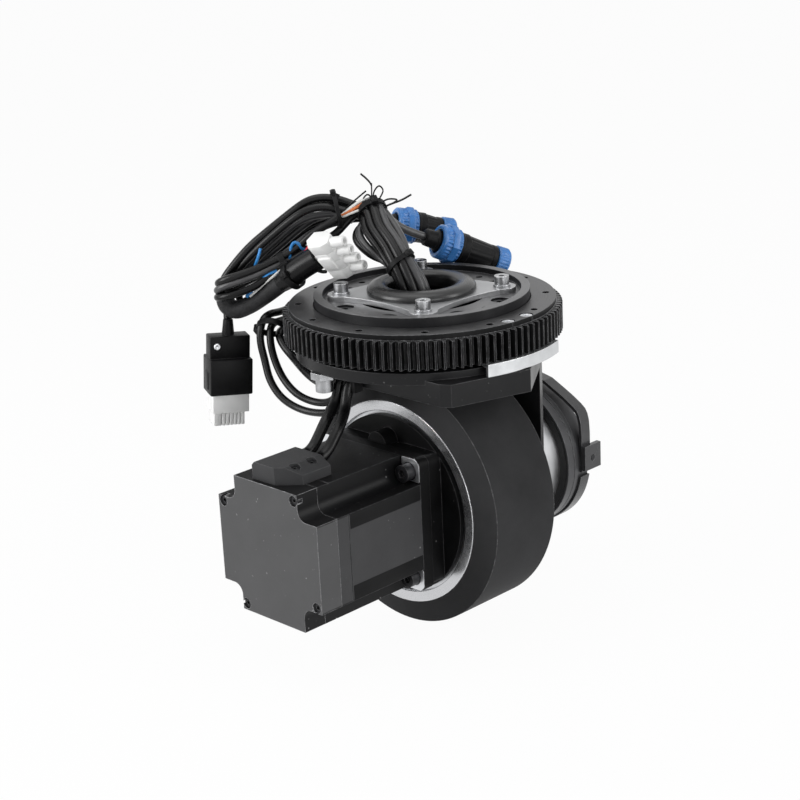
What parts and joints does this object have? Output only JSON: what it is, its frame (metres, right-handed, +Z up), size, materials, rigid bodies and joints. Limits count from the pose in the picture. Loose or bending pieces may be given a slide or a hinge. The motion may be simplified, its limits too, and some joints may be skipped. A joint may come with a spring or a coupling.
{
  "type": "agv drive wheel unit",
  "caption": "Steered drive wheel unit: toothed slew ring above a fork that carries a tyred wheel with a planetary hub, a square servo motor, a drum brake and its cable harness.",
  "frame": {"origin": "on the steering axis, in the plane of the gear ring's mounting annulus", "axes": "+Z up along the steering axis, wheel axle along Y, drive motor towards -Y, brake towards +Y"},
  "size_m": [0.2097, 0.2266, 0.2454],
  "materials": {
    "black_oxide_steel": "black oxide, satin",
    "bright_steel": "bright zinc plated or ground",
    "grey_sheet_steel": "satin grey",
    "fork_black": "dark satin coat",
    "black_aluminium": "black anodised",
    "silver_aluminium": "turned bright",
    "grey_aluminium": "dark grey anodised",
    "cover_aluminium": "satin mid grey",
    "winding": "varnished",
    "black_rubber": "matt",
    "tread": "satin polyurethane",
    "cable_jacket": "satin",
    "black_plastic": "moulded",
    "white_plastic": "moulded",
    "blue_plastic": "moulded"
  },
  "bodies": {
    "chassis_ring": {"slew_gear_ring": "black_oxide_steel", "home_flag": "bright_steel", "flag_screws": "bright_steel"},
    "fork": {"slew_inner_ring": "black_oxide_steel", "slew_balls": "bright_steel", "ring_screws": "black_oxide_steel", "cable_plate": "grey_sheet_steel", "plate_screws": "bright_steel", "plate_washers": "bright_steel", "cable_grommet": "black_rubber", "fork_bracket": "fork_black", "gear_case_front": "black_aluminium", "gear_case_rear": "black_aluminium", "case_screws": "black_oxide_steel", "planet_pins": "bright_steel", "bearing_inner_rings": "bright_steel", "motor_flange": "grey_aluminium", "motor_body": "grey_aluminium", "motor_rear_cover": "cover_aluminium", "motor_stator": "winding", "motor_bearings": "bright_steel", "terminal_box": "black_plastic", "small_screws": "black_oxide_steel", "flange_screws": "black_oxide_steel", "brake_body": "silver_aluminium", "brake_seal": "black_rubber", "brake_ring": "grey_aluminium", "brake_cover": "grey_aluminium", "brake_strap": "bright_steel", "strap_clamp": "grey_aluminium", "home_sensor": "bright_steel", "motor_cable_a": "cable_jacket", "motor_cable_b": "cable_jacket", "loop_cable_a": "cable_jacket", "loop_cable_b": "cable_jacket", "loop_cable_c": "cable_jacket", "loop_tie": "black_plastic", "cable_clip": "black_plastic", "riser_bundle": "cable_jacket", "riser_tie": "black_plastic", "cable_hank": "cable_jacket", "connector_sleeve": "cable_jacket", "white_connector": "white_plastic", "plug_lead": "cable_jacket", "plug_housing": "black_plastic", "plug_insert": "white_plastic", "aux_lead_a": "cable_jacket", "aux_lead_b": "cable_jacket", "aux_nuts": "blue_plastic", "aux_bodies": "black_plastic"},
    "wheel": {"wheel_hub": "silver_aluminium", "tyre": "tread", "ring_gear": "bright_steel", "bearing_outer_rings": "bright_steel"},
    "rotor": {"motor_rotor": "bright_steel", "sun_gear": "bright_steel", "brake_disc": "bright_steel"},
    "planet_1": {"planet_gear_1": "bright_steel"},
    "planet_2": {"planet_gear_2": "bright_steel"},
    "planet_3": {"planet_gear_3": "bright_steel"}
  },
  "joints": [
    {"name": "steer", "type": "hinge", "parent": "chassis_ring", "child": "fork", "pos_m": [0, 0, 0], "axis": [0, 0, 1], "range_deg": [-100, 100]},
    {"name": "wheel_spin", "type": "hinge", "parent": "fork", "child": "wheel", "pos_m": [0, 0, -0.116], "axis": [0, 1, 0], "continuous": true},
    {"name": "rotor_spin", "type": "hinge", "parent": "fork", "child": "rotor", "pos_m": [0, 0, -0.116], "axis": [0, 1, 0], "continuous": true},
    {"name": "planet_spin_1", "type": "hinge", "parent": "fork", "child": "planet_1", "pos_m": [0.03, 0, -0.116], "axis": [0, 1, 0], "continuous": true},
    {"name": "planet_spin_2", "type": "hinge", "parent": "fork", "child": "planet_2", "pos_m": [-0.015, 0, -0.14198], "axis": [0, 1, 0], "continuous": true},
    {"name": "planet_spin_3", "type": "hinge", "parent": "fork", "child": "planet_3", "pos_m": [-0.015, 0, -0.09002], "axis": [0, 1, 0], "continuous": true}
  ],
  "couplings": [
    {"joint": "rotor_spin", "follows": "wheel_spin", "ratio": -5.4},
    {"joint": "planet_spin_1", "follows": "wheel_spin", "ratio": 2.4545},
    {"joint": "planet_spin_2", "follows": "wheel_spin", "ratio": 2.4545},
    {"joint": "planet_spin_3", "follows": "wheel_spin", "ratio": 2.4545}
  ]
}
